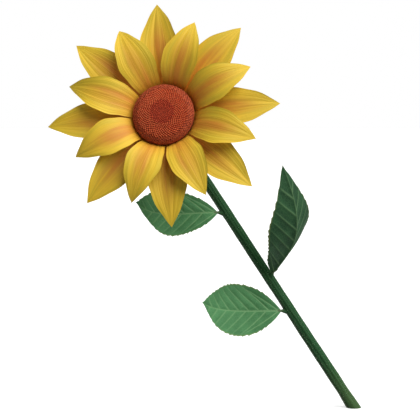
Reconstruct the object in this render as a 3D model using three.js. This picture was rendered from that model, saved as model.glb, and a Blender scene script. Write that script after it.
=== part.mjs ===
// A sunflower plant in flower: one leaning stem, three leaves and a single head of sixteen petals.
// Millimetres and degrees, +Z up, the flower facing -Y. The origin is the centre of the level cut
// at the foot of the stem.
import * as THREE from "three";

const { degToRad, lerp, smoothstep } = THREE.MathUtils;

// Pieces that meet stay this far apart.
const GAP = 0.3;

// ---- Stem --------------------------------------------------------------------------------------
// It leans to -X in a straight line. Its neck then bends forward into the back of the head.

const STEM_LEAN = 33.1;
const CORNER_AT = 344; // up the stem, where the lines of the stem and of the head's back meet
const NECK_START = 30; // the bend starts this far short of that corner
const STEM_RADIUS = { foot: 6.7, low: 5.9, top: 5.2 };
const FLARE_HEIGHT = 24; // the foot narrows to the stem over this length
const NECK_RADIUS = { start: 5.2, end: 7.4 };

// ---- Head --------------------------------------------------------------------------------------
// Heights are along the head's own axis, from the plane of the back petals' tips.

const HEAD_UP = 17.8; // its face looks this far above level
const HEAD_TURN = 7.8; // and is turned this far towards -X
const HEAD_FORWARD = 58; // from the corner of the neck to the plane of the back petals' tips

const CUP = { back: -30, rim: -7, rimRadius: 35, neckRadius: 8 };
const DISC = { foot: CUP.rim + GAP, footRadius: 28, widest: 3, radius: 30.7, top: 15 };
const DISC_DROP = 0.8; // it sits this far below the head's axis

const PETALS_PER_RING = 8;
const FIRST_PETAL = 6.4; // the first back petal's turn about the head's axis
const PETAL_THICKNESS = 1.1;

// A petal's midrib is a curve of four points (distance from the axis, height). Its outline swells
// from the share `base` of its half-width to the whole at `widest`, and then runs to a point.
// `turns` and `reach` set each petal a little off its even place and length.
const BACK_PETAL = {
  midrib: [[29.6, -6], [50, 5], [84, 9], [116, 0]],
  halfWidth: 20.2, base: 0.56, widest: 0.42, cup: 0.1,
  turns: [-0.6, -0.5, -0.1, 0.9, 0.1, 0.2, 0.3, -0.1],
  reach: [-0.8, -0.1, -0.2, 1.3, 1.1, -0.3, -1.7, -0.7],
};
const FRONT_PETAL = {
  midrib: [[30, -4.2], [36, 15.5], [69, 27], [96.6, 9.2]],
  halfWidth: 18.9, base: 0.58, widest: 0.44, cup: 0.08,
  turns: [-0.4, -0.6, 0.8, 0.9, 0.1, 0.4, 0.3, 0.1],
  reach: [0.4, 0.1, -0.1, 1.9, -0.3, -1, -1.2, 0.3],
};

// Two rows of green bracts clasp the cup and stand out behind the petals.
const BRACTS_PER_ROW = 13;
const BRACT_THICKNESS = 1;
const BACK_BRACT = {
  midrib: [[23.5, -27.2], [33, -24], [44, -13.5], [58, -15]],
  halfWidth: 7.2, base: 0.6, widest: 0.4, cup: 0.12,
};
const FRONT_BRACT = {
  midrib: [[31.4, -20.2], [37, -12], [44, -7], [57, -8.5]],
  halfWidth: 6.8, base: 0.7, widest: 0.36, cup: 0.1,
};

// ---- Leaves ------------------------------------------------------------------------------------
// `at` is the height above the ground where the stalk leaves the stem. The blade's own line sets
// out at `heading` (anticlockwise from +X, seen from above) and `climb`, and `roll` turns it about
// that line. `curve` then lifts the midrib, two thirds of the way along and at the tip, `sweep`
// carries the tip aside, and `fold` is the angle by which each half stands up from flat.

const STALK_RADIUS = { stem: 2.3, blade: 1.5 };
const LEAF_THICKNESS = 1.1;
const LEAVES = {
  low_left: {
    at: 101.5, heading: 204, climb: 5, roll: -67, stalk: 4.7,
    length: 89.5, halfWidth: 28.3, widest: 0.51, curve: [-26, 6], sweep: -5, fold: 7,
  },
  right: {
    at: 136, heading: -59, climb: 44, roll: 18, stalk: 3,
    length: 110, halfWidth: 30.5, widest: 0.59, curve: [-17, 54], sweep: -2, fold: 18,
  },
  high_left: {
    at: 203.5, heading: 208, climb: 5, roll: -58, stalk: 4.4,
    length: 92, halfWidth: 26.8, widest: 0.54, curve: [-28, 4], sweep: -5, fold: 7,
  },
};

// ---- Materials ---------------------------------------------------------------------------------

const finish = (color, roughness) =>
  new THREE.MeshStandardMaterial({ color, roughness, metalness: 0 });

const stemGreen = finish(0x26502d, 0.6);
const leafGreen = finish(0x4f8455, 0.6);
const bractGreen = finish(0x4a7748, 0.65);
const petalYellow = finish(0xdcae3c, 0.55);
const discRed = finish(0x8f3b26, 0.75);

// ---- Shapes ------------------------------------------------------------------------------------

const plant = new THREE.Group();

function addPiece(parent, name, geometry, material) {
  const mesh = new THREE.Mesh(geometry, material);
  mesh.name = name;
  parent.add(mesh);
  return mesh;
}

// Moves every vertex of a geometry to where `placed` puts it.
function reshape(geometry, placed) {
  const vertices = geometry.attributes.position;
  for (let i = 0; i < vertices.count; i++) {
    const point = placed(vertices.getX(i), vertices.getY(i), vertices.getZ(i));
    vertices.setXYZ(i, point.x, point.y, point.z);
  }
  geometry.computeVertexNormals();
  return geometry;
}

// A closed round bar along a curve that lies in the plane across `side`.
function bar(curve, radiusAt, side, rings, sides) {
  return reshape(new THREE.CylinderGeometry(1, 1, 1, sides, rings), (x, y, z) => {
    const along = y + 0.5;
    const across = new THREE.Vector3().crossVectors(side, curve.getTangent(along));
    return curve
      .getPoint(along)
      .addScaledVector(side, x * radiusAt(along))
      .addScaledVector(across, z * radiusAt(along));
  });
}

// The share of its full width that a petal, bract or leaf has at `along`, from 0 to 1. Its last
// stretch narrows to a blunt tip.
const BLUNT = 0.03;

function outline(along, base, widest) {
  if (along < widest) return lerp(1, base, (1 - along / widest) ** 2);
  return Math.max(BLUNT, 1 - ((along - widest) / (1 - widest)) ** 2);
}

// A thin closed blade along its midrib, upper side towards +Z. `fold` lifts each half in a straight
// line and `cup` lifts the margins in a curve, both as shares of the distance from the midrib.
function blade(midrib, widthAt, { fold = 0, cup = 0, thickness, lengths, widths }) {
  const up = new THREE.Vector3(0, 0, 1);
  return reshape(new THREE.BoxGeometry(1, 1, 1, lengths, widths), (x, y, z) => {
    const along = x + 0.5;
    const across = 2 * y;
    const face = 2 * z;
    const tangent = midrib.getTangent(along);
    const side = new THREE.Vector3().crossVectors(up, tangent).normalize();
    const normal = new THREE.Vector3().crossVectors(tangent, side);
    const width = widthAt(along);
    const lift = width * (Math.abs(across) * fold + across ** 2 * cup);
    const thin = 1 - 0.5 * Math.abs(across) - 0.3 * along;
    return midrib
      .getPoint(along)
      .addScaledVector(side, across * width * Math.cos(Math.atan(fold)))
      .addScaledVector(normal, lift + (face * thickness * thin) / 2);
  });
}

// ---- Stem and neck -----------------------------------------------------------------------------

const sideways = new THREE.Vector3(0, 1, 0);
const stemLine = new THREE.Vector3(-Math.sin(degToRad(STEM_LEAN)), 0, Math.cos(degToRad(STEM_LEAN)));
const headAxis = new THREE.Vector3(0, -1, 0)
  .applyAxisAngle(new THREE.Vector3(1, 0, 0), -degToRad(HEAD_UP))
  .applyAxisAngle(new THREE.Vector3(0, 0, 1), -degToRad(HEAD_TURN));
const corner = stemLine.clone().multiplyScalar(CORNER_AT);
const stemLength = CORNER_AT - NECK_START;

function stemRadius(distance) {
  const flare = (1 - smoothstep(distance, 0, FLARE_HEIGHT)) * (STEM_RADIUS.foot - STEM_RADIUS.low);
  return lerp(STEM_RADIUS.low, STEM_RADIUS.top, distance / stemLength) + flare;
}

const stemCurve = new THREE.LineCurve3(
  new THREE.Vector3(),
  stemLine.clone().multiplyScalar(stemLength - GAP),
);
const stem = bar(stemCurve, (along) => stemRadius(along * stemLength), sideways, 14, 12);

// The foot is cut level: its ring slides along the stem to the ground.
reshape(stem, (x, y, z) => {
  const point = new THREE.Vector3(x, y, z);
  const inFoot = point.dot(stemLine) < 0.001;
  return inFoot ? point.addScaledVector(stemLine, -z / stemLine.z) : point;
});
addPiece(plant, "stem", stem, stemGreen);

const neckCurve = new THREE.QuadraticBezierCurve3(
  stemLine.clone().multiplyScalar(stemLength),
  corner,
  corner.clone().addScaledVector(headAxis, HEAD_FORWARD + CUP.back - GAP),
);
const neckSide = new THREE.Vector3().crossVectors(headAxis, stemLine).normalize();
const neckRadius = (along) => lerp(NECK_RADIUS.start, NECK_RADIUS.end, along ** 2);
addPiece(plant, "stem_neck", bar(neckCurve, neckRadius, neckSide, 8, 12), stemGreen);

// ---- Leaves ------------------------------------------------------------------------------------

// How far a point must slide along `way` to stand clear of the stem's round side. `axis` is the
// stem's own line, through the zero of the point's frame.
function slideClear(point, way, axis, radius) {
  const off = point.clone().addScaledVector(axis, -point.dot(axis));
  const pace = way.clone().addScaledVector(axis, -way.dot(axis));
  const half = off.dot(pace) / pace.lengthSq();
  return Math.sqrt(half ** 2 - (off.lengthSq() - radius ** 2) / pace.lengthSq()) - half;
}

const forward = new THREE.Vector3(1, 0, 0);

for (const [name, leaf] of Object.entries(LEAVES)) {
  const way = new THREE.Group();
  way.position.copy(stemLine).multiplyScalar(leaf.at / stemLine.z);
  way.rotation.set(0, -degToRad(leaf.climb), degToRad(leaf.heading), "ZYX");
  plant.add(way);

  // The stalk's foot is hollowed to the round of the stem.
  const axis = stemLine.clone().applyQuaternion(way.quaternion.clone().invert());
  const clear = stemRadius(way.position.length()) + GAP;
  const start = slideClear(new THREE.Vector3(), forward, axis, clear);
  const line = new THREE.LineCurve3(
    new THREE.Vector3(start, 0, 0),
    new THREE.Vector3(start + leaf.stalk, 0, 0),
  );
  const stalkRadius = (along) => lerp(STALK_RADIUS.stem, STALK_RADIUS.blade, along);
  const stalk = bar(line, stalkRadius, sideways, 2, 10);
  reshape(stalk, (x, y, z) => {
    const point = new THREE.Vector3(x, y, z);
    const inFoot = x < start + 0.001;
    return inFoot ? point.addScaledVector(forward, slideClear(point, forward, axis, clear)) : point;
  });
  addPiece(way, `stalk_${name}`, stalk, stemGreen);

  const bladeLine = new THREE.CubicBezierCurve3(
    new THREE.Vector3(0, 0, 0),
    new THREE.Vector3(leaf.length / 3, 0, 0),
    new THREE.Vector3((2 * leaf.length) / 3, leaf.sweep / 3, leaf.curve[0]),
    new THREE.Vector3(leaf.length, leaf.sweep, leaf.curve[1]),
  );
  const leafWidth = (along) => leaf.halfWidth * outline(along, 0.06, leaf.widest);
  const shape = blade(bladeLine, leafWidth, {
    fold: Math.tan(degToRad(leaf.fold)), thickness: LEAF_THICKNESS, lengths: 14, widths: 6,
  });
  const mesh = addPiece(way, `leaf_${name}`, shape, leafGreen);
  mesh.position.x = start + leaf.stalk + GAP;
  mesh.rotation.x = degToRad(leaf.roll);
}

// ---- Head --------------------------------------------------------------------------------------

const head = new THREE.Group();
head.up.set(0, 0, 1);
head.position.copy(corner).addScaledVector(headAxis, HEAD_FORWARD);
head.lookAt(head.position.clone().add(headAxis));
plant.add(head);

// A round piece about the head's axis, from a profile of (radius, height) points.
function turned(name, profile, material) {
  const points = profile.map(([radius, height]) => new THREE.Vector2(radius, height));
  const geometry = new THREE.LatheGeometry(points, 32).rotateX(Math.PI / 2);
  return addPiece(head, name, geometry, material);
}

// The cup is a shallow bowl, solid inside, that the neck runs into.
const cupDepth = CUP.rim - CUP.back;
const cupWall = Array.from({ length: 7 }, (_, i) => {
  const turn = (i / 6) * (Math.PI / 2);
  return [
    lerp(CUP.neckRadius, CUP.rimRadius, Math.sin(turn)),
    CUP.back + cupDepth * (1 - Math.cos(turn)),
  ];
});
turned("head_cup", [[0, CUP.back], ...cupWall, [0, CUP.rim]], bractGreen);

// The disc is a dome that swells over the petals' feet.
const disc = Array.from({ length: 8 }, (_, i) => {
  const turn = (i / 8) * (Math.PI / 2);
  return [DISC.radius * Math.cos(turn), lerp(DISC.widest, DISC.top, Math.sin(turn))];
});
const discProfile = [[0, DISC.foot], [DISC.footRadius, DISC.foot], ...disc, [0, DISC.top]];
turned("seed_disc", discProfile, discRed).position.y = -DISC_DROP;

// ---- Petals and bracts -------------------------------------------------------------------------

// Growth is never quite even: a small swing from one bract to the next, between -1 and 1.
const uneven = (count, beat) => Math.sin(2.4 * count + beat);

// A ring of blades round the head's axis. Each stays within its own slice of the ring, which is a
// degree narrower on either side than an even share.
function ring(name, count, first, shape, material, { thickness, lengths, widths }) {
  const slice = Math.tan(Math.PI / count - degToRad(1));
  for (let i = 0; i < count; i++) {
    const [foot, rise, crest, tip] = shape.midrib.map(([radius, height]) => [radius, height]);
    tip[0] += shape.reach?.[i] ?? 1.2 * uneven(i, 0);
    tip[1] += shape.reach ? 0 : 2 * uneven(i, 2);
    const midrib = new THREE.CubicBezierCurve3(
      ...[foot, rise, crest, tip].map(([radius, height]) => new THREE.Vector3(radius, 0, height)),
    );
    const widthAt = (along) => {
      const room = midrib.getPoint(along).x * slice - GAP;
      return Math.min(room, shape.halfWidth * outline(along, shape.base, shape.widest));
    };
    const geometry = blade(midrib, widthAt, { cup: shape.cup, thickness, lengths, widths });
    const mesh = addPiece(head, `${name}_${i + 1}`, geometry, material);
    const turn = shape.turns?.[i] ?? 0.8 * uneven(i, 4);
    mesh.rotation.z = degToRad(first + (360 * i) / count + turn);
  }
}

const petalStep = 360 / PETALS_PER_RING;
const petalGrid = { thickness: PETAL_THICKNESS, lengths: 10, widths: 4 };
ring("back_petal", PETALS_PER_RING, FIRST_PETAL, BACK_PETAL, petalYellow, petalGrid);
ring("front_petal", PETALS_PER_RING, FIRST_PETAL + petalStep / 2, FRONT_PETAL, petalYellow, petalGrid);

const bractStep = 360 / BRACTS_PER_ROW;
const bractGrid = { thickness: BRACT_THICKNESS, lengths: 6, widths: 2 };
ring("back_bract", BRACTS_PER_ROW, 0, BACK_BRACT, bractGreen, bractGrid);
ring("front_bract", BRACTS_PER_ROW, bractStep / 2, FRONT_BRACT, bractGreen, bractGrid);

export default plant;
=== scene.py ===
import math

import bpy
import numpy as np
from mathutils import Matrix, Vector


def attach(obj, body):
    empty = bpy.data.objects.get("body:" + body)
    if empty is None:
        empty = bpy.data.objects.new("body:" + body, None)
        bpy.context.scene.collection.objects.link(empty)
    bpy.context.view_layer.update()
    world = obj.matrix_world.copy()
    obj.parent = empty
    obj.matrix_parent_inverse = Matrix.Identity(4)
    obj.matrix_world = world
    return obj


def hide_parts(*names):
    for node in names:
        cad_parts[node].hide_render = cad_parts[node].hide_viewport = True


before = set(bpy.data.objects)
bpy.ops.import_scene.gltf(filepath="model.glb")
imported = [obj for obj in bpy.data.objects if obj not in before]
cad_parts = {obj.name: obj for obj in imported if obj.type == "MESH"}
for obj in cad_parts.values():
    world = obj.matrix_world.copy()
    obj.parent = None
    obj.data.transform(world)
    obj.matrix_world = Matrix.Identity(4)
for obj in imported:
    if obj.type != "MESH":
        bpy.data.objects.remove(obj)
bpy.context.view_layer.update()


# ---- Stem and neck -----------------------------------------------------------------------------
# The stem is one green rod, ribbed along its length and rough with short bristles. It leans in a
# straight line, is cut level at the ground, and bends forward into the back of the head. Sizes
# here and below are in millimetres.

STEM_LEAN = math.radians(33.1)
STEM_LENGTH = 314.0
STEM_RADIUS = {"foot": 6.7, "low": 5.9, "top": 5.2}
FLARE_HEIGHT = 24.0
CORNER_AT = 344.0
NECK_END_RADIUS = 7.4
NECK_REACH = 29.0
NECK_SPREAD = 2.8
STEM_RINGS, NECK_RINGS, STEM_SIDES = 240, 44, 72
RIBS = 10
RIB_TWIST = 0.0016
RIB_INSET = 0.30
RIB_AT_FOOT, RIB_GROWTH = 0.14, 0.28
LEVEL_RUN = 26.0
PITH_SHARE = 0.8
HEAD_TURN, HEAD_RISE = 7.8, 17.8

up = np.array([0.0, 0.0, 1.0])
stem_line = np.array([-math.sin(STEM_LEAN), 0.0, math.cos(STEM_LEAN)])


def facing(turn, rise):
    """A level look along -Y, turned towards -X and then raised, both in degrees."""
    turn, rise = math.radians(turn), math.radians(rise)
    return np.array([
        -math.sin(turn) * math.cos(rise), -math.cos(turn) * math.cos(rise), math.sin(rise)])


head_axis = facing(HEAD_TURN, HEAD_RISE)
neck_corner = stem_line * CORNER_AT


def unit(rows):
    """Each row at a length of one."""
    return rows / np.linalg.norm(rows, axis=-1, keepdims=True)


def smooth(value, low, high):
    """0 below low, 1 above high and a soft step between."""
    share = np.clip((value - low) / (high - low), 0, 1)
    return share * share * (3 - 2 * share)


def bezier(points, t):
    """The points of a curve of any number of handles at each share t of its run."""
    rows = [np.multiply.outer(np.ones_like(t), np.array(p, float)) for p in points]
    while len(rows) > 1:
        rows = [a + (b - a) * t[:, None] for a, b in zip(rows, rows[1:])]
    return rows[0]


def carried_side(path, side):
    """A side direction carried along a path without twisting, and the path's own directions."""
    ways = unit(np.gradient(path, axis=0))
    sides = []
    for way in ways:
        side = unit(side - way * (side @ way))
        sides.append(side)
    return np.array(sides), ways


def grid_faces(rows, columns, first=0, closed=False):
    """Quads of a grid of points numbered row by row, joined round where it is closed."""
    across = columns if closed else columns - 1
    i, j = np.meshgrid(np.arange(rows - 1), np.arange(across), indexing="ij")
    k = (j + 1) % columns
    corners = [i * columns + j, i * columns + k, (i + 1) * columns + k, (i + 1) * columns + j]
    return np.stack(corners, -1).reshape(-1, 4) + first


def made(name, points, faces, finish, nodes=(), numbers=None, crease=180):
    """A piece of the plant from points in millimetres. `numbers` are kept on its points."""
    mesh = bpy.data.meshes.new(name)
    mesh.from_pydata((np.asarray(points) * 0.001).tolist(), [], [list(map(int, f)) for f in faces])
    for label, values in (numbers or {}).items():
        values = np.asarray(values, dtype=np.float32)
        kind = "FLOAT_VECTOR" if values.ndim == 2 else "FLOAT"
        layer = mesh.attributes.new(label, kind, "POINT")
        layer.data.foreach_set("vector" if values.ndim == 2 else "value", values.ravel())
    mesh.shade_smooth()
    if crease < 180:
        mesh.set_sharp_from_angle(angle=math.radians(crease))
    mesh.materials.append(finish)
    piece = bpy.data.objects.new(name, mesh)
    bpy.context.scene.collection.objects.link(piece)
    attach(piece, "root")
    for node in nodes:
        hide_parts(node)


class Wire:
    """A socket in a finish. Sums on it add Math nodes, or Vector Math where it is a vector."""

    def __init__(self, finish, socket):
        self.finish = finish
        self.socket = socket

    def worked(self, operation, *terms):
        kind = "ShaderNodeVectorMath" if self.socket.type == "VECTOR" else "ShaderNodeMath"
        return self.finish.node(kind, {"operation": operation}, dict(enumerate(terms)))

    def __add__(self, other):
        return self.worked("ADD", self, other)

    def __radd__(self, other):
        return self.worked("ADD", other, self)

    def __sub__(self, other):
        return self.worked("SUBTRACT", self, other)

    def __rsub__(self, other):
        return self.worked("SUBTRACT", other, self)

    def __mul__(self, other):
        return self.worked("MULTIPLY", self, other)

    def __rmul__(self, other):
        return self.worked("MULTIPLY", other, self)

    def __abs__(self):
        return self.worked("ABSOLUTE", self)

    def eased(self, low, high):
        """0 below low, 1 above high and a soft step between. It runs down where high < low."""
        step = {"Value": self, "From Min": low, "From Max": high}
        return self.finish.node(
            "ShaderNodeMapRange", {"interpolation_type": "SMOOTHSTEP", "clamp": True}, step)


class Finish:
    """A material, built from its nodes up to one Principled surface."""

    def __init__(self, name):
        self.material = bpy.data.materials.new(name)
        self.material.use_nodes = True
        self.tree = self.material.node_tree
        self.tree.nodes.clear()

    def node(self, kind, settings=None, inputs=None, output=0):
        node = self.tree.nodes.new(kind)
        for label, value in (settings or {}).items():
            setattr(node, label, value)
        for label, value in (inputs or {}).items():
            socket = node.inputs[label]
            if isinstance(value, Wire):
                self.tree.links.new(value.socket, socket)
            elif socket.type == "VECTOR" and np.ndim(value) == 0:
                socket.default_value = (value, value, value)
            else:
                socket.default_value = value
        return Wire(self, node.outputs[output]) if node.outputs else None

    def number(self, label):
        return self.node("ShaderNodeAttribute", {"attribute_name": label}, output="Fac")

    def place(self, label):
        return self.node("ShaderNodeAttribute", {"attribute_name": label}, output="Vector")

    def axes(self, vector):
        split = self.node("ShaderNodeSeparateXYZ", None, {0: vector}).socket.node
        return [Wire(self, socket) for socket in split.outputs]

    def joined(self, x, y, z):
        return self.node("ShaderNodeCombineXYZ", None, {0: x, 1: y, 2: z})

    def noise(self, vector, scale, detail):
        inputs = {"Vector": vector, "Scale": scale, "Detail": detail}
        return self.node("ShaderNodeTexNoise", None, inputs)

    def blend(self, share, first, second):
        inputs = {0: share, 6: first, 7: second}
        return self.node("ShaderNodeMix", {"data_type": "RGBA"}, inputs, 2)

    def bump(self, height, distance, strength):
        inputs = {"Height": height, "Distance": distance, "Strength": strength}
        return self.node("ShaderNodeBump", None, inputs)

    def surface(self, **sockets):
        inputs = {label.replace("_", " "): value for label, value in sockets.items()}
        shader = self.node("ShaderNodeBsdfPrincipled", None, inputs)
        self.node("ShaderNodeOutputMaterial", None, {"Surface": shader})
        return self.material


def color(code):
    """A screen colour such as 'dcae3c' as the light it stands for."""
    parts = [int(code[i:i + 2], 16) / 255 for i in (0, 2, 4)]
    return (*[p / 12.92 if p <= 0.04045 else ((p + 0.055) / 1.055) ** 2.4 for p in parts], 1.0)


def stem_finish():
    """Green rind with paler ribs, a duller foot and fine specks."""
    finish = Finish("stem_rind")
    grain = finish.place("grain")
    rib = finish.number("rib")
    foot = finish.number("height").eased(70, 0)
    streak = finish.noise(grain * (1.0, 1.0, 0.12), 2.4, 4).eased(0.35, 0.7)
    specks = finish.noise(grain * (1.0, 1.0, 0.9), 9.0, 2).eased(0.58, 0.72)
    shade = finish.blend(streak, color("16331b"), color("1e4225"))
    shade = finish.blend(rib * 0.5, shade, color("33683a"))
    shade = finish.blend(foot * 0.3, shade, color("5f7040"))
    shade = finish.blend(specks * 0.2, shade, color("8fae74"))
    shade = finish.blend(finish.number("pith"), shade, color("cfd3a4"))
    relief = finish.bump(streak + specks * 0.6, 0.0003, 0.6)
    return finish.surface(
        Base_Color=shade, Roughness=0.55 - rib * 0.08, Specular_IOR_Level=0.1, Normal=relief)


def ribbed_stem():
    """The stem's skin, and the path, run, radius and two sides of the line that it follows."""
    straight = np.linspace(0, STEM_LENGTH, STEM_RINGS)[:, None] * stem_line
    bend = bezier(
        [stem_line * STEM_LENGTH, neck_corner, neck_corner + head_axis * NECK_REACH],
        np.linspace(0, 1, NECK_RINGS)[1:])
    path = np.concatenate([straight, bend])
    run = np.concatenate([[0], np.cumsum(np.linalg.norm(np.diff(path, axis=0), axis=1))])
    side, way = carried_side(path, np.array([0.0, 1.0, 0.0]))
    across = np.cross(side, way)

    flare = (1 - smooth(run, 0, FLARE_HEIGHT)) * (STEM_RADIUS["foot"] - STEM_RADIUS["low"])
    straight_part = np.clip(run / STEM_LENGTH, 0, 1)
    neck_part = np.clip((run - STEM_LENGTH) / (run[-1] - STEM_LENGTH), 0, 1)
    radius = STEM_RADIUS["low"] + (STEM_RADIUS["top"] - STEM_RADIUS["low"]) * straight_part + flare
    radius = radius + (NECK_END_RADIUS - STEM_RADIUS["top"]) * neck_part ** 2
    radius = radius + NECK_SPREAD * np.clip((neck_part - 0.8) / 0.2, 0, 1) ** 3

    turn = np.linspace(0, 2 * math.pi, STEM_SIDES, endpoint=False)
    phase = turn[None, :] + RIB_TWIST * run[:, None]
    rib = 0.5 + 0.5 * np.cos(RIBS * phase + 0.8 * np.sin(2 * phase + run[:, None] * 0.011))
    waver = 0.10 * np.sin(3 * phase + run[:, None] * 0.05) + 0.07 * np.sin(run[:, None] * 0.21)
    rib_height = RIB_AT_FOOT + RIB_GROWTH * smooth(run, 4, 50)[:, None]
    girth = radius[:, None] - RIB_INSET + rib_height * rib ** 1.6 + waver
    outward = (side[:, None, :] * np.sin(turn)[None, :, None]
               + across[:, None, :] * np.cos(turn)[None, :, None])
    points = path[:, None, :] + outward * girth[..., None]

    # The rings near the foot tip over until the first lies level on the ground.
    level = np.clip(1 - run / LEVEL_RUN, 0, 1)[:, None]
    slide = -(points - path[:, None, :])[..., 2] / stem_line[2] * level
    points = points + slide[..., None] * stem_line

    rings = len(path)
    faces = grid_faces(rings, STEM_SIDES, closed=True).tolist()
    points = points.reshape(-1, 3)
    numbers = {
        "rib": rib.reshape(-1),
        "height": np.repeat(run, STEM_SIDES),
        "pith": np.zeros(len(points)),
        "grain": np.stack([
            np.tile(np.sin(turn), rings), np.tile(np.cos(turn), rings),
            np.repeat(run, STEM_SIDES) / 6], -1),
    }
    # The cut at the foot shows a ring of rind round pale pith.
    inner = points[:STEM_SIDES] * PITH_SHARE
    last = len(points)
    cut = np.concatenate([inner, inner * 0.5, [[0, 0, 0]]])
    points = np.concatenate([points, cut, [path[-1]]])
    for label, value in (("rib", 0), ("height", 0), ("pith", 1)):
        numbers[label] = np.concatenate([numbers[label], np.full(len(cut) + 1, value)])
    numbers["grain"] = np.concatenate([numbers["grain"], np.zeros((len(cut) + 1, 3))])
    for first, second in ((0, last), (last, last + STEM_SIDES)):
        for j in range(STEM_SIDES):
            k = (j + 1) % STEM_SIDES
            faces.append([second + j, second + k, first + k, first + j])
    centre = last + 2 * STEM_SIDES
    top = (rings - 1) * STEM_SIDES
    for j in range(STEM_SIDES):
        k = (j + 1) % STEM_SIDES
        faces.append([last + STEM_SIDES + k, last + STEM_SIDES + j, centre])
        faces.append([top + j, top + k, centre + 1])
    return points, faces, numbers, (path, run, radius, side, across)


stem_points, stem_faces, stem_numbers, stem_way = ribbed_stem()
stem_green = stem_finish()
made("stem_rind", stem_points, stem_faces, stem_green,
     ("stem", "stem_neck"), stem_numbers, crease=60)


# ---- Bristles on the stem ----------------------------------------------------------------------
# Short stiff hairs stand out all the way up the stem. Each is a three-sided spike with a bend in
# it, pale and a little glassy, and all of them are one joined piece.

STEM_BRISTLES = 2600
BRISTLE_WIDTH = 0.085
LOWER_PART, UPPER_PART = 0.55, 0.45
SPIKE_POINTS = 7

chance = np.random.default_rng(11)


def hair_finish():
    finish = Finish("pale_hair")
    tone = finish.noise(finish.node("ShaderNodeTexCoord", output="Object"), 160.0, 1)
    shade = finish.blend(tone.eased(0.3, 0.7), color("8fae7c"), color("bccfa4"))
    return finish.surface(Base_Color=shade, Roughness=0.4)


pale_hair = hair_finish()


def bristles(name, roots, ways, lengths, thickness, droop=0.25, finish=pale_hair):
    """Joined spikes from `roots` along `ways`, each bent towards the ground by `droop`."""
    ways = unit(ways)
    side = unit(np.cross(ways, chance.normal(size=ways.shape)))
    other = np.cross(ways, side)
    lengths = np.asarray(lengths)[:, None]
    middle = roots + ways * lengths * LOWER_PART
    tip = middle + unit(ways - up * droop) * lengths * UPPER_PART
    rings = []
    for centre, width in ((roots, 1.0), (middle, 0.6)):
        for k in range(3):
            angle = 2 * math.pi * k / 3
            outward = side * math.cos(angle) + other * math.sin(angle)
            rings.append(centre + outward * thickness * width)
    points = np.stack([*rings, tip], 1).reshape(-1, 3)
    faces = []
    for first in range(0, len(points), SPIKE_POINTS):
        for k in range(3):
            n = (k + 1) % 3
            faces.append([first + k, first + n, first + 3 + n, first + 3 + k])
            faces.append([first + 3 + k, first + 3 + n, first + 6])
        faces.append([first + 2, first + 1, first])
    made(name, points, faces, finish)


def stem_bristles(count):
    path, run, radius, side, across = stem_way
    at = chance.uniform(6, run[-1] - 14, count)
    turn = chance.uniform(0, 2 * math.pi, count)

    def along(rows):
        return np.stack([np.interp(at, run, rows[:, k]) for k in range(3)], -1)

    out = unit(along(side) * np.sin(turn)[:, None] + along(across) * np.cos(turn)[:, None])
    roots = along(path) + out * (np.interp(at, run, radius) - 0.35)[:, None]
    ways = out + chance.normal(0, 0.22, (count, 3))
    lengths = chance.uniform(1.0, 2.1, count)
    bristles("stem_bristles", roots, ways, lengths, BRISTLE_WIDTH)


stem_bristles(STEM_BRISTLES)


# ---- Leaves ------------------------------------------------------------------------------------
# Three broad leaves leave the stem on short stalks. Each blade is a thin sheet with a toothed
# edge, folded a little along its midrib, with veins that sink into its upper side and stand out
# underneath.

GAP = 0.3
LEAF_LENGTHS, LEAF_WIDTHS = 210, 110
LEAF_THICKNESS = 0.5
LEAF_TEETH = 17
SIDE_VEINS = 8
STALK = dict(rings=34, sides=28, sunk=2.0, under_blade=9.0, dip=2.4)
# Each leaf's height on the stem, its three turns in degrees, its sizes, and how its midrib runs.
LEAVES = {
    "low_left": dict(at=101.5, heading=204, climb=5, roll=-67, stalk=4.7, length=89.5,
                     half_width=28.3, widest=0.51, curve=(-26, 6), sweep=-5, fold=7),
    "right": dict(at=136, heading=-59, climb=44, roll=18, stalk=3, length=110,
                  half_width=30.5, widest=0.59, curve=(-17, 54), sweep=-2, fold=18),
    "high_left": dict(at=203.5, heading=208, climb=5, roll=-58, stalk=4.4, length=92,
                      half_width=26.8, widest=0.54, curve=(-28, 4), sweep=-5, fold=7),
}


def outline(t, base, widest):
    """The share of its full half-width that a blade has at each share t of its length."""
    swell = 1 + (base - 1) * (1 - np.minimum(t, widest) / widest) ** 2
    taper = 1 - (np.maximum(t - widest, 0) / (1 - widest)) ** 2
    return np.where(t < widest, swell, taper)


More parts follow.
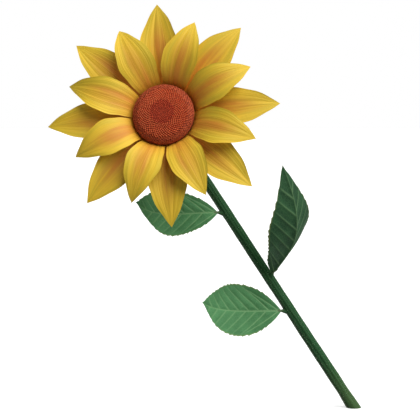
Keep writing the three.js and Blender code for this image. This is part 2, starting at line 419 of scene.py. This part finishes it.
def blade(handles, half_width, fold, cup, thickness, relief, lengths, widths, twist=0.0):
    """A thin closed blade along a midrib, upper side towards +Z.

    t runs from foot to tip and v from margin to margin. `half_width(t, v)` gives the widths, and
    `relief(t, v)` how far the whole sheet, its upper side and its lower side stand off the plain
    folded shape, and how near each point is to a vein.
    """
    t = np.linspace(0, 1, lengths)
    v = np.linspace(-1, 1, widths)
    midrib = bezier(handles, t)
    way = unit(np.gradient(midrib, axis=0))
    side = unit(np.cross(up, way))
    normal = np.cross(way, side)
    turn = twist * t ** 2
    side, normal = (side * np.cos(turn)[:, None] + normal * np.sin(turn)[:, None],
                    normal * np.cos(turn)[:, None] - side * np.sin(turn)[:, None])
    T, V = np.meshgrid(t, v, indexing="ij")
    middle, upper, lower, vein = relief(T, V)
    width = half_width(T, V)
    lift = width * (np.abs(V) * fold + V ** 2 * cup) + middle
    flat = V * width * math.cos(math.atan(fold))
    sheet = midrib[:, None, :] + side[:, None, :] * flat[..., None]
    thick = thickness * (1 - 0.55 * np.abs(V) ** 3) * (1 - 0.35 * T)
    above = sheet + normal[:, None, :] * (lift + thick / 2 + upper)[..., None]
    below = sheet + normal[:, None, :] * (lift - thick / 2 + lower)[..., None]
    points = np.concatenate([above.reshape(-1, 3), below.reshape(-1, 3)])
    size = lengths * widths
    faces = [*grid_faces(lengths, widths)[:, ::-1], *grid_faces(lengths, widths, size)]
    rim = np.concatenate([
        np.arange(widths), np.arange(1, lengths) * widths + widths - 1,
        (lengths - 1) * widths + np.arange(widths - 2, -1, -1),
        np.arange(lengths - 2, 0, -1) * widths])
    following = np.roll(rim, -1)
    faces += np.stack([rim, following, following + size, rim + size], -1).tolist()
    numbers = {
        "blade": np.tile(np.stack([T, V, np.zeros_like(T)], -1).reshape(-1, 3), (2, 1)),
        "under": np.repeat([0.0, 1.0], size),
        "vein": np.tile(vein.reshape(-1), 2),
    }
    return points, faces, numbers


def leaf_veins(x, y, v, length):
    """How near each point is to a vein, from 0 to 1, for sharp veins and for their soft valleys."""
    t = x / length
    sharp = np.exp(-(y / (0.32 + 0.75 * (1 - t))) ** 2)
    soft = np.exp(-(y / (1.6 + 2.2 * (1 - t))) ** 2)
    reach = np.clip(1 - np.abs(v) ** 5, 0, 1)
    thin = 0.75 - 0.3 * np.abs(v)
    off = np.abs(y)
    for hand in (1, -1):
        for i in range(SIDE_VEINS):
            start = length * (0.02 + 0.115 * i + (0.035 if hand > 0 and i else 0))
            lean = (1.35 if i == 0 else 0.95) - 0.03 * i
            line = start + off * lean + off ** 2 * 0.006
            gap = np.abs(x - line) / math.sqrt(1 + lean ** 2)
            near = (y * hand > 0) * reach
            strong = 1.0 if i < 2 else 0.8
            sharp = np.maximum(sharp, strong * near * np.exp(-(gap / thin) ** 2))
            soft = np.maximum(soft, strong * near * np.exp(-(gap / 2.0) ** 2))
    return sharp, soft


def leaf_finish():
    """Dull green above with pale veins, a finer net between them and a painted highlight towards
    the tip, and a darker underside that is painted shade.
    """
    finish = Finish("leaf_skin")
    spot = finish.place("spot")
    under = finish.number("under")
    vein = finish.number("vein")
    along, across, _ = finish.axes(finish.place("blade"))
    mottle = finish.noise(spot, 0.09, 3).eased(0.35, 0.65)
    net = finish.node("ShaderNodeTexVoronoi", {"feature": "DISTANCE_TO_EDGE"},
                      {"Vector": spot, "Scale": 0.42, "Randomness": 0.9}).eased(0.10, 0.0)
    fine = finish.node("ShaderNodeTexVoronoi", {"feature": "DISTANCE_TO_EDGE"},
                       {"Vector": spot, "Scale": 1.3, "Randomness": 1.0}).eased(0.12, 0.0)
    upper = finish.blend(mottle, color("3a6f41"), color("457c4b"))
    # Painted highlight: the upper side turns lighter towards the tip.
    upper = finish.blend(along.eased(0.25, 0.95) * 0.38, upper, color("5c9161"))
    upper = finish.blend(net * 0.16, upper, color("71a06d"))
    upper = finish.blend(vein * 0.5, upper, color("85ae78"))
    # Painted shade: the underside's greens are much darker than the upper side's, as if it always
    # lay in shadow.
    lower = finish.blend(mottle, color("1c3d23"), color("264b2c"))
    lower = finish.blend(net * 0.2, lower, color("4f7f4d"))
    lower = finish.blend(vein * 0.55, lower, color("749b69"))
    shade = finish.blend(under, upper, lower)
    shade = finish.blend(abs(across).eased(0.93, 1.0) * 0.35, shade, color("a9ad62"))
    relief = finish.bump(net * -0.7 + fine * -0.35 + mottle * 0.4, 0.0004, 0.55)
    return finish.surface(
        Base_Color=shade, Roughness=0.52 + under * 0.16, Specular_IOR_Level=0.18, Normal=relief)


leaf_green = leaf_finish()


def turned(axis, degrees):
    """A rotation about X, Y or Z as a matrix."""
    c, s = math.cos(math.radians(degrees)), math.sin(math.radians(degrees))
    i, j = {"x": (1, 2), "y": (2, 0), "z": (0, 1)}[axis]
    matrix = np.eye(3)
    matrix[i, i], matrix[i, j], matrix[j, i], matrix[j, j] = c, -s, s, c
    return matrix


def leaf_blade(leaf, beat):
    """One toothed, veined blade along +X from its foot, upper side towards +Z."""
    length, sweep = leaf["length"], leaf["sweep"]
    handles = [(0, 0, 0), (length / 3, 0, 0), (2 * length / 3, sweep / 3, leaf["curve"][0]),
               (length, sweep, leaf["curve"][1])]

    def width(t, v):
        beats = (t * LEAF_TEETH + 0.4 * np.sin(7 * t + beat) + 0.2 * np.sin(19 * t + 2 * beat)
                 + 0.35 * (v > 0))
        tooth = beats % 1.0
        bite = np.where(tooth < 0.8, tooth / 0.8, (1 - tooth) / 0.2) - 0.5
        deep = 1.1 + 0.4 * np.sin(31 * t + beat)
        near_ends = smooth(t, 0.1, 0.2) * (1 - smooth(t, 0.93, 1.0))
        plain = leaf["half_width"] * np.maximum(outline(t, 0.06, leaf["widest"]), 0.004)
        return plain + np.abs(v) ** 7 * bite * deep * near_ends

    def relief(t, v):
        y = v * width(t, v * 0)
        sharp, soft = leaf_veins(t * length, y, v, length)
        wave = 1.3 * np.abs(v) ** 3 * np.sin(11 * t + beat + 1.3 * np.sign(v))
        wave = wave * smooth(t, 0.05, 0.3) * (1 - smooth(t, 0.75, 1.0))
        calm = smooth(t, 0.0, 0.08)
        thick_rib = np.exp(-(y / 1.2) ** 2) * (1 - t) ** 1.5
        return wave - 0.75 * soft * calm, -0.10 * sharp, -0.28 * sharp - thick_rib * calm, sharp

    points, faces, numbers = blade(
        handles, width, math.tan(math.radians(leaf["fold"])), 0.0, LEAF_THICKNESS, relief,
        LEAF_LENGTHS, LEAF_WIDTHS)
    numbers["spot"] = np.stack(
        [points[:, 0], points[:, 1], np.full(len(points), 40.0 * beat)], -1)
    return points, faces, numbers


def leaf_stalk(start, foot):
    """A stalk along +X that clasps the stem, is grooved on top and runs on under the blade."""
    rings, sides = STALK["rings"], STALK["sides"]
    t = np.linspace(0, 1, rings)
    reach = np.linspace(start - STALK["sunk"], foot + STALK["under_blade"], rings)
    line = np.stack([reach, np.zeros(rings), -STALK["dip"] * smooth(t, 0.4, 0.9)], -1)
    side, way = carried_side(line, np.array([0.0, 1.0, 0.0]))
    across = np.cross(side, way)
    turn = np.linspace(0, 2 * math.pi, sides, endpoint=False)
    girth = 1.35 + 1.6 * (1 - smooth(t, 0, 0.4)) - 1.05 * smooth(t, 0.4, 1)
    groove = 1 - 0.28 * np.exp(-((turn - math.pi / 2) / 0.5) ** 2)
    ring = (side[:, None, :] * np.cos(turn)[None, :, None]
            - across[:, None, :] * np.sin(turn)[None, :, None])
    tube = line[:, None, :] + ring * (girth[:, None] * groove[None, :])[..., None]
    points = np.concatenate([tube.reshape(-1, 3), line[:1], line[-1:]])
    faces = grid_faces(rings, sides, closed=True).tolist()
    for j in range(sides):
        k = (j + 1) % sides
        faces.append([k, j, rings * sides])
        faces.append([(rings - 1) * sides + j, (rings - 1) * sides + k, rings * sides + 1])
    paler = 0.16 * smooth(points[:, 0], start, foot + 3.0)
    numbers = {
        "rib": np.full(len(points), 0.5), "height": np.full(len(points), 200.0),
        "pith": paler, "grain": points / 6,
    }
    return points, faces, numbers


def grow_leaf(name, leaf, beat):
    place = turned("z", leaf["heading"]) @ turned("y", -leaf["climb"])
    root = stem_line * leaf["at"] / stem_line[2]
    _, run, radius, *_ = stem_way
    start = np.interp(np.linalg.norm(root), run, radius) + GAP
    start = start / math.sin(math.acos(place[:, 0] @ stem_line))
    foot = start + leaf["stalk"] + GAP

    points, faces, numbers = leaf_blade(leaf, beat)
    points = np.array([foot, 0, 0]) + points @ turned("x", leaf["roll"]).T
    made(f"leaf_{name}_skin", root + points @ place.T, faces, leaf_green,
         (f"leaf_{name}",), numbers, crease=50)

    points, faces, numbers = leaf_stalk(start, foot)
    points = points @ turned("x", leaf["roll"]).T
    made(f"stalk_{name}_skin", root + points @ place.T, faces, stem_green,
         (f"stalk_{name}",), numbers)


for beat, (name, leaf) in enumerate(LEAVES.items()):
    grow_leaf(name, leaf, beat + 1.0)


# ---- Head cup ----------------------------------------------------------------------------------
# The head sits in a shallow fleshy green bowl that the neck widens into. It is solid inside and
# carries everything else on the head.

HEAD_FORWARD = 58.0
CUP = dict(back=-30.0, rim=-7.0, rim_radius=35.0, neck_radius=8.0, sides=104, ribs=26)

head_centre = neck_corner + head_axis * HEAD_FORWARD
head_x = unit(np.cross(up, head_axis))
head_y = np.cross(head_axis, head_x)
to_head = np.stack([head_x, head_y, head_axis])


def on_head(points):
    """Points about the head's own axis, put where the head is."""
    return head_centre + np.asarray(points) @ to_head


def revolved(profile, sides, ripple=None):
    """A closed skin of revolution from (radius, height) points. Both ends lie on the axis."""
    profile = np.array(profile, float)
    turn = np.linspace(0, 2 * math.pi, sides, endpoint=False)
    middle = profile[1:-1]
    radius = middle[:, 0][:, None] + (0 if ripple is None else ripple(middle, turn))
    rings = np.stack([radius * np.cos(turn), radius * np.sin(turn),
                      np.repeat(middle[:, 1][:, None], sides, 1)], -1).reshape(-1, 3)
    points = np.concatenate([rings, [[0, 0, profile[0, 1]]], [[0, 0, profile[-1, 1]]]])
    faces = grid_faces(len(middle), sides, closed=True).tolist()
    last = (len(middle) - 1) * sides
    for j in range(sides):
        k = (j + 1) % sides
        faces.append([k, j, len(rings)])
        faces.append([last + j, last + k, len(rings) + 1])
    return points, faces


def bract_finish():
    """Green with paler ribs, browner at the tips, darker at the neck, and rough with down."""
    finish = Finish("bract_skin")
    along, across, number = finish.axes(finish.place("blade"))
    spot = finish.joined(along * 3.0, across * 3.0, number)
    mottle = finish.noise(spot, 1.3, 3).eased(0.35, 0.65)
    ribs = finish.noise(finish.joined(along * 0.6, across * 5.0, number), 2.0, 2).eased(0.45, 0.65)
    shade = finish.blend(mottle, color("3e6f3f"), color("538a4c"))
    shade = finish.blend(ribs * 0.4, shade, color("86a96c"))
    shade = finish.blend(finish.number("vein") * 0.6, shade, color("9dbd83"))
    shade = finish.blend(along.eased(0.82, 1.0) * 0.5, shade, color("7f6a40"))
    shade = finish.blend(finish.number("neck") * 0.85, shade, color("234a2a"))
    relief = finish.bump(ribs + mottle * 0.5, 0.0004, 0.6)
    return finish.surface(
        Base_Color=shade, Roughness=0.62, Specular_IOR_Level=0.25, Normal=relief)


bract_green = bract_finish()


def head_cup():
    def ribs(middle, turn):
        height = 0.25 * np.cos(CUP["ribs"] * turn)[None, :]
        return -0.25 + height * smooth(middle[:, 0], 10, 24)[:, None]

    depth = CUP["rim"] - CUP["back"]
    turn = np.linspace(0, math.pi / 2, 22)
    radius = CUP["neck_radius"] + (CUP["rim_radius"] - CUP["neck_radius"]) * np.sin(turn)
    height = CUP["back"] + depth * (1 - np.cos(turn))
    wall = list(zip(radius, height))
    profile = [(0, CUP["back"]), *wall, (20, CUP["rim"]), (0, CUP["rim"])]
    points, faces = revolved(profile, CUP["sides"], ribs)
    around = np.arctan2(points[:, 1], points[:, 0])
    out = np.hypot(points[:, 0], points[:, 1])
    numbers = {
        "blade": np.stack([out / 60, np.cos(around * CUP["ribs"] / 2), around], -1),
        "vein": np.zeros(len(points)),
        "neck": 1 - smooth(out, 10, 26),
    }
    made("cup_skin", on_head(points), faces, bract_green,
         ("head_cup",), numbers, crease=60)


head_cup()


# ---- Bracts ------------------------------------------------------------------------------------
# Two rows of narrow green leaflets clasp the cup and stand out behind the petals. They overlap
# like tiles, end in fine points and have stiff hairs along their edges.

BRACTS_PER_ROW = 13
BRACT_LENGTHS, BRACT_WIDTHS = 34, 15
BRACT_THICKNESS = 0.7
BRACT_RIB = 0.12
HAIRS_PER_EDGE = 34
HAIR_WIDTH = 0.07
BACK_BRACT = dict(midrib=[(20.6, -26.0), (33, -24.6), (44, -13.5), (58, -15)],
                  half_width=7.2, base=0.6, widest=0.4, cup=0.12)
FRONT_BRACT = dict(midrib=[(29.6, -19.2), (37.5, -13), (44, -7), (57, -8.5)],
                   half_width=6.8, base=0.7, widest=0.36, cup=0.10)


def uneven(i, beat):
    """A steady small difference between neighbours, from -1 to 1."""
    return math.sin(2.4 * i + beat)


def ring_blade(shape, count, i, first, thickness, relief, lengths, widths, twist, edge=None):
    """One blade of a ring round the head's axis, in the head's own frame."""
    slice_width = math.tan(math.pi / count - math.radians(1))
    foot, rise, crest, tip = [list(p) for p in shape["midrib"]]
    tip[0] += shape["reach"][i] if "reach" in shape else 1.2 * uneven(i, 0)
    tip[1] += 0 if "reach" in shape else 2 * uneven(i, 2)
    turn = shape["turns"][i] if "turns" in shape else 0.8 * uneven(i, 4)
    handles = [(r, 0, h) for r, h in (foot, rise, crest, tip)]
    run = bezier(handles, np.linspace(0, 1, lengths))[:, 0]

    def width(t, v):
        plain = shape["half_width"] * np.maximum(outline(t, shape["base"], shape["widest"]), 0.006)
        room = np.interp(t, np.linspace(0, 1, lengths), run) * slice_width - GAP
        plain = (plain ** -8 + room ** -8) ** (-1 / 8)
        return plain if edge is None else plain + edge(t, v)

    points, faces, numbers = blade(
        handles, width, 0.0, shape["cup"], thickness, relief, lengths, widths, twist)
    numbers["blade"][:, 2] = 7.3 * i + first
    spin = turned("z", first + 360 * i / count + turn)
    return points @ spin.T, faces, numbers


def gathered(parts):
    """Several lots of points, faces and numbers as one lot."""
    points, faces, numbers, first = [], [], {}, 0
    for some_points, some_faces, some_numbers in parts:
        points.append(some_points)
        faces += [[int(f) + first for f in face] for face in some_faces]
        for label, values in some_numbers.items():
            numbers.setdefault(label, []).append(values)
        first += len(some_points)
    return (np.concatenate(points), faces,
            {label: np.concatenate(values) for label, values in numbers.items()})


def bract_row(name, shape, first):
    parts, edges = [], []
    for i in range(BRACTS_PER_ROW):
        def relief(t, v):
            ridge = 0.25 * np.exp(-(v / BRACT_RIB) ** 2)
            ridge = ridge + 0.10 * np.exp(-((np.abs(v) - 0.5) / BRACT_RIB) ** 2)
            curl = 0.7 * np.abs(v) ** 3 * np.sin(6 * t + i) * (1 - smooth(t, 0.7, 1.0))
            return curl, 0.15 * ridge, -ridge * (1 - t), np.clip(ridge * 4, 0, 1)

        points, faces, numbers = ring_blade(
            shape, BRACTS_PER_ROW, i, first, BRACT_THICKNESS, relief, BRACT_LENGTHS, BRACT_WIDTHS,
            0.25 * uneven(i, 1))
        parts.append((points, faces, numbers))
        upper_side = points[:BRACT_LENGTHS * BRACT_WIDTHS]
        grid = upper_side.reshape(BRACT_LENGTHS, BRACT_WIDTHS, 3)
        for j, inner in ((0, 1), (-1, -2)):
            rows = chance.integers(6, BRACT_LENGTHS - 2, HAIRS_PER_EDGE)
            edges.append((grid[rows, j], unit(grid[rows, j] - grid[rows, inner])))
    points, faces, numbers = gathered(parts)
    nodes = [f"{name}_{i + 1}" for i in range(BRACTS_PER_ROW)]
    made(f"{name}s_skin", on_head(points), faces, bract_green, nodes, numbers, 50)
    roots = on_head(np.concatenate([root for root, _ in edges]))
    ways = np.concatenate([way for _, way in edges]) @ to_head
    ways = ways + chance.normal(0, 0.3, ways.shape)
    lengths = chance.uniform(0.9, 1.9, len(roots))
    bristles(f"{name}_hairs", roots, ways, lengths, HAIR_WIDTH)


bract_row("back_bract", BACK_BRACT, 0.0)
bract_row("front_bract", FRONT_BRACT, 360 / BRACTS_PER_ROW / 2)


# ---- Petals ------------------------------------------------------------------------------------
# Two rings of eight broad petals stand on the rim of the cup, the front ring over the gaps of the
# back one. Each is a thin golden sheet with fine ridges that run together at its foot and tip.

PETALS_PER_RING = 8
PETAL_LENGTHS, PETAL_WIDTHS = 84, 49
PETAL_THICKNESS = 0.42
FIRST_PETAL = 6.4
BACK_PETAL = dict(midrib=[(29.6, -6), (50, 5), (84, 9), (116, 0)],
                  half_width=20.2, base=0.56, widest=0.42, cup=0.10,
                  turns=(-0.6, -0.5, -0.1, 0.9, 0.1, 0.2, 0.3, -0.1),
                  reach=(-0.8, -0.1, -0.2, 1.3, 1.1, -0.3, -1.7, -0.7))
FRONT_PETAL = dict(midrib=[(30, -4.2), (36, 15.5), (69, 27), (96.6, 9.2)],
                   half_width=18.9, base=0.58, widest=0.44, cup=0.08,
                   turns=(-0.4, -0.6, 0.8, 0.9, 0.1, 0.4, 0.3, 0.1),
                   reach=(0.4, 0.1, -0.1, 1.9, -0.3, -1, -1.2, 0.3))


def petal_finish():
    """Golden yellow, with soft orange streaks up the middle and a warmer foot."""
    finish = Finish("petal_skin")
    along, across, number = finish.axes(finish.place("blade"))
    wander = finish.noise(finish.joined(along * 1.1, across * 0.7, number), 1.6, 2) - 0.5
    off = abs(across + wander * 0.7)
    middle = off.eased(0.75, 0.1)
    streaks = finish.noise(finish.joined(along * 0.7, across * 1.9, number), 1.9, 2)
    streaks = streaks.eased(0.36, 0.64)
    warm = middle * (streaks * 0.5 + 0.5) * along.eased(0.94, 0.5)
    foot = along.eased(0.5, 0.0)
    threads = finish.noise(finish.joined(along * 0.5, across * 24.0, number), 1.0, 2)
    threads = threads.eased(0.4, 0.65)
    shade = finish.blend(streaks * 0.6, color("e9c233"), color("c8b12e"))
    shade = finish.blend(warm * 0.95, shade, color("d0872b"))
    shade = finish.blend(foot * 0.6, shade, color("e29334"))
    shade = finish.blend(threads * 0.12, shade, color("b98226"))
    shade = finish.blend(finish.number("under") * 0.35, shade, color("c4a347"))
    relief = finish.bump(threads * -1.0 + streaks * 0.3, 0.0003, 0.3)
    return finish.surface(
        Base_Color=shade, Roughness=0.55, Specular_IOR_Level=0.3, Normal=relief)


petal_yellow = petal_finish()


def petal_ring(name, shape, first, arch):
    for i in range(PETALS_PER_RING):
        beat = i * 1.9 + arch

        def relief(t, v):
            tip = 1 - smooth(t, 0.8, 1.0)
            fade = smooth(t, 0, 0.15) * tip
            ridges = 0.09 * np.cos(v * 17 + 0.6 * np.sin(beat)) + 0.04 * np.cos(v * 41 + beat)
            grooves = -0.32 * (
                np.exp(-((v - 0.30) / 0.10) ** 2) + np.exp(-((v + 0.34) / 0.10) ** 2))
            wave = 1.0 * np.abs(v) ** 3 * np.sin(7.5 * t + beat + 0.9 * np.sign(v))
            middle = (ridges + grooves) * fade + wave * smooth(t, 0.1, 0.4) * tip
            return middle, 0 * t, 0 * t, 0 * t

        def edge(t, v):
            ripple = 0.35 * np.sin(23 * t + beat + 2 * np.sign(v)) * smooth(t, 0.15, 0.3)
            return ripple * (1 - smooth(t, 0.85, 1)) * np.abs(v) ** 3

        points, faces, numbers = ring_blade(
            shape, PETALS_PER_RING, i, first, PETAL_THICKNESS, relief, PETAL_LENGTHS, PETAL_WIDTHS,
            0.12 * uneven(i, arch), edge)
        made(f"{name}_{i + 1}_skin", on_head(points), faces, petal_yellow,
             (f"{name}_{i + 1}",), numbers, crease=50)


petal_ring("back_petal", BACK_PETAL, FIRST_PETAL, 0.0)
petal_ring("front_petal", FRONT_PETAL, FIRST_PETAL + 180 / PETALS_PER_RING, 3.0)


# ---- Seed disc ---------------------------------------------------------------------------------
# The disc is a low dome packed with small tubular flowers, set in two families of spirals. Those
# in the middle are still closed buds, and those near the rim are open.

DISC = dict(foot=-6.7, foot_radius=28.0, widest=3.0, radius=30.7, top=15.0)
DISC_DROP = 0.8
SKIRT_RADIUS = 33.6
DOME_SIDES = 96
FLORETS = 1200
FLORET_SIDES = 10
FLORET_SUNK = 0.6
NOTCHED_RINGS = 4
BUD_HEIGHT = 1.7
CROWDING = 1.2
GOLDEN_ANGLE = math.radians(137.50776)
SPIRAL_STEPS = 400
# Below its widest ring the dome of florets turns in and down by this much for each radian.
UNDERCUT = dict(turn=math.radians(112), inward=2.4, down=11.0)
# How far out the tight buds reach, and then the shut ones, as shares of all the florets.
TIGHT_BUDS, SHUT_BUDS = 0.16, 0.55


def disc_finish(name, low, high, rough):
    """One tone of the florets, a little uneven."""
    finish = Finish(name)
    spot = finish.node("ShaderNodeTexCoord", output="Object")
    grain = finish.noise(spot, 420.0, 2).eased(0.35, 0.65)
    shade = finish.blend(grain, color(low), color(high))
    return finish.surface(Base_Color=shade, Roughness=rough, Specular_IOR_Level=0.3,
                          Normal=finish.bump(grain, 0.0002, 0.4))


def on_disc(points):
    """Points about the disc's own axis, which sits a little below the head's."""
    return on_head(np.asarray(points) - (0, DISC_DROP, 0))


def disc_core():
    turn = np.linspace(0, math.pi / 2, 26)[:-1]
    inset = BUD_HEIGHT * 0.75
    dome = [((DISC["radius"] - inset) * math.cos(a),
             DISC["widest"] + (DISC["top"] - inset - DISC["widest"]) * math.sin(a)) for a in turn]
    # A thin skirt at its foot covers the top of the cup as far as the petals.
    # The skirt's dark maroon is the disc's flesh colour, not the receptacle's own yellow-green, and
    # is painted shade between the petals' feet.
    skirt = [(SKIRT_RADIUS, DISC["foot"]), (SKIRT_RADIUS, DISC["foot"] + 0.3),
             (DISC["foot_radius"] - inset, DISC["foot"] + 0.5)]
    profile = [(0, DISC["foot"]), *skirt, *dome, (0, DISC["top"] - inset)]
    points, faces = revolved(profile, DOME_SIDES)
    flesh = disc_finish("disc_flesh", "6d2415", "84301d", 0.8)
    made("disc_core", on_disc(points), faces, flesh, ("seed_disc",), crease=60)


disc_core()


def spiral_places():
    """Where each floret stands on the dome, which way it points, and its share of the way out."""
    steps = np.arange(SPIRAL_STEPS)
    turn = np.linspace(0, UNDERCUT["turn"], SPIRAL_STEPS)
    inset = BUD_HEIGHT * 0.85
    wide, tall = DISC["radius"] - inset, DISC["top"] - DISC["widest"] - inset
    radius = wide * np.sin(np.minimum(turn, math.pi / 2))
    height = DISC["widest"] + tall * np.cos(np.minimum(turn, math.pi / 2))
    below = turn > math.pi / 2
    drop = np.where(below, turn - math.pi / 2, 0)
    radius = np.where(below, wide - UNDERCUT["inward"] * drop, radius)
    height = np.where(below, DISC["widest"] - UNDERCUT["down"] * drop, height)
    step = np.hypot(np.diff(radius), np.diff(height)) * (radius[1:] + radius[:-1]) / 2
    area = np.concatenate([[0], np.cumsum(step)])
    share = (np.arange(FLORETS) + 0.5) / FLORETS
    at = np.interp(share ** CROWDING, area / area[-1], steps)
    r, h = np.interp(at, steps, radius), np.interp(at, steps, height)
    slope = np.stack([
        np.interp(at, steps, np.gradient(radius)), np.interp(at, steps, np.gradient(height))], -1)
    angle = np.arange(FLORETS) * GOLDEN_ANGLE
    out = np.stack([np.cos(angle), np.sin(angle), 0 * angle], -1)
    flat = unit(slope)
    normal = out * -flat[:, 1:2] + up * flat[:, 0:1]
    return out * r[:, None] + up * h[:, None], unit(normal), out, share


def florets(name, chosen, profile, lobes, finish):
    """Joined florets. `profile` gives (radius, height) rings, and `lobes` deepens their notches."""
    places, normals, outs, share = spiral_places()
    sides = FLORET_SIDES
    turn = np.linspace(0, 2 * math.pi, sides, endpoint=False)
    notch = np.where(np.arange(sides) % 2 == 0, 1.0, 1.0 - lobes)
    parts = []
    for n in np.flatnonzero(chosen(share)):
        way = unit(normals[n] + chance.normal(0, 0.06, 3))
        side = unit(np.cross(way, outs[n] + 0.01))
        other = np.cross(way, side)
        size = 1.02 * share[n] ** ((CROWDING - 1) / 2) * chance.uniform(0.94, 1.06)
        spin = chance.uniform(0, 1)
        rings = []
        for k, (radius, height) in enumerate(profile):
            deep = notch if k >= len(profile) - NOTCHED_RINGS else 1.0
            ring = (side * np.cos(turn + spin)[:, None] + other * np.sin(turn + spin)[:, None])
            rings.append(places[n] + ring * (radius * size * deep * np.ones(sides))[:, None]
                         + way * (height * size - FLORET_SUNK))
        top = places[n] + way * (profile[-1][1] * size - FLORET_SUNK)
        points = np.concatenate([*rings, [top]])
        faces = grid_faces(len(profile), sides, closed=True).tolist()
        last = (len(profile) - 1) * sides
        faces += [[last + j, last + (j + 1) % sides, len(points) - 1] for j in range(sides)]
        faces.append(list(range(sides))[::-1])
        parts.append((points, faces, {}))
    points, faces, _ = gathered(parts)
    made(name, on_disc(points), faces, finish)


bud = [(0.80, 0.0), (1.04, 0.8), (1.06, 1.3), (0.84, 1.85), (0.44, 2.25), (0.10, 2.5)]
opened = [(0.62, 0.0), (0.76, 0.9), (0.78, 1.5), (1.12, 2.0), (1.20, 1.85), (0.55, 1.55)]
florets("centre_buds", lambda s: s < TIGHT_BUDS, bud, 0.26,
        disc_finish("bud_maroon", "b24024", "c54e2d", 0.6))
florets("middle_buds", lambda s: (s >= TIGHT_BUDS) & (s < SHUT_BUDS), bud, 0.26,
        disc_finish("bud_red_brown", "c65630", "d6673c", 0.6))
florets("rim_florets", lambda s: s >= SHUT_BUDS, opened, 0.3,
        disc_finish("floret_brown", "bd5330", "d2653c", 0.65))


def styles():
    """A forked pollen tip in each open floret."""
    places, normals, _, share = spiral_places()
    roots, ways = [], []
    for n in np.flatnonzero(share >= SHUT_BUDS):
        for _ in range(2):
            roots.append(places[n] + normals[n] * 0.7)
            ways.append(normals[n] + chance.normal(0, 0.3, 3))
    roots, ways = on_disc(np.array(roots)), np.array(ways) @ to_head
    lengths = chance.uniform(1.0, 1.5, len(roots))
    pollen = disc_finish("pollen_rust", "b0542c", "c86f3a", 0.6)
    bristles("pollen_tips", roots, ways, lengths, 0.2, 0.0, pollen)


styles()


# ---- Studio ------------------------------------------------------------------------------------
# A plain white floor under soft light: one broad lamp high on the right, a weaker one behind on
# the left, and an even glow all round. The floor glows a little, so that shadows on it stay pale.

VIEW_DISTANCE = 1.5
VIEW_RISE = math.radians(5)
LENS, SENSOR = 124.8, 36
FLOOR_REACH = 9
FLOOR_GLOW = 0.5
SKY_GLOW = 0.18
# Each lamp's name, strength, spread in degrees and the way that its light goes.
LAMPS = (("key_lamp", 4.05, 66, (-0.54, 0.41, -0.73)),
         ("back_lamp", 1.8, 60, (0.45, -0.75, -0.45)))
view_target = np.array([-0.1499, 0.0, 0.2066])


def look(way):
    return Vector(way).to_track_quat("-Z", "Y")


def studio():
    floor_mesh = bpy.data.meshes.new("studio_floor")
    corners = [(x * FLOOR_REACH, y * FLOOR_REACH, 0)
               for x, y in ((-1, -1), (1, -1), (1, 1), (-1, 1))]
    floor_mesh.from_pydata(corners, [], [[0, 1, 2, 3]])
    finish = Finish("floor_white")
    floor_mesh.materials.append(finish.surface(
        Base_Color=(0.6, 0.6, 0.6, 1), Roughness=0.9, Emission_Color=(1, 1, 1, 1),
        Emission_Strength=FLOOR_GLOW))
    floor = bpy.data.objects.new("studio_floor", floor_mesh)
    bpy.context.scene.collection.objects.link(floor)
    floor.visible_diffuse = False

    for name, energy, spread, way in LAMPS:
        sun = bpy.data.lights.new(name, "SUN")
        sun.energy, sun.angle = energy, math.radians(spread)
        lamp = bpy.data.objects.new(name, sun)
        lamp.rotation_mode = "QUATERNION"
        lamp.rotation_quaternion = look(way)
        bpy.context.scene.collection.objects.link(lamp)

    world = bpy.data.worlds.new("studio_world")
    world.use_nodes = True
    bpy.context.scene.world = world
    glow = world.node_tree.nodes["Background"]
    glow.inputs["Color"].default_value = (1, 1, 1, 1)
    seen = world.node_tree.nodes.new("ShaderNodeLightPath")
    level = world.node_tree.nodes.new("ShaderNodeMapRange")
    level.inputs["To Min"].default_value = SKY_GLOW
    level.inputs["To Max"].default_value = 1.0
    world.node_tree.links.new(seen.outputs["Is Camera Ray"], level.inputs["Value"])
    world.node_tree.links.new(level.outputs[0], glow.inputs["Strength"])

    lens = bpy.data.cameras.new("view")
    lens.sensor_width = SENSOR
    lens.lens = LENS
    camera = bpy.data.objects.new("view", lens)
    away = np.array([0, -math.cos(VIEW_RISE), math.sin(VIEW_RISE)])
    camera.location = view_target + away * VIEW_DISTANCE
    camera.rotation_mode = "QUATERNION"
    camera.rotation_quaternion = look(-away)
    bpy.context.scene.collection.objects.link(camera)
    bpy.context.scene.camera = camera
    bpy.context.scene.view_settings.view_transform = "Standard"


studio()
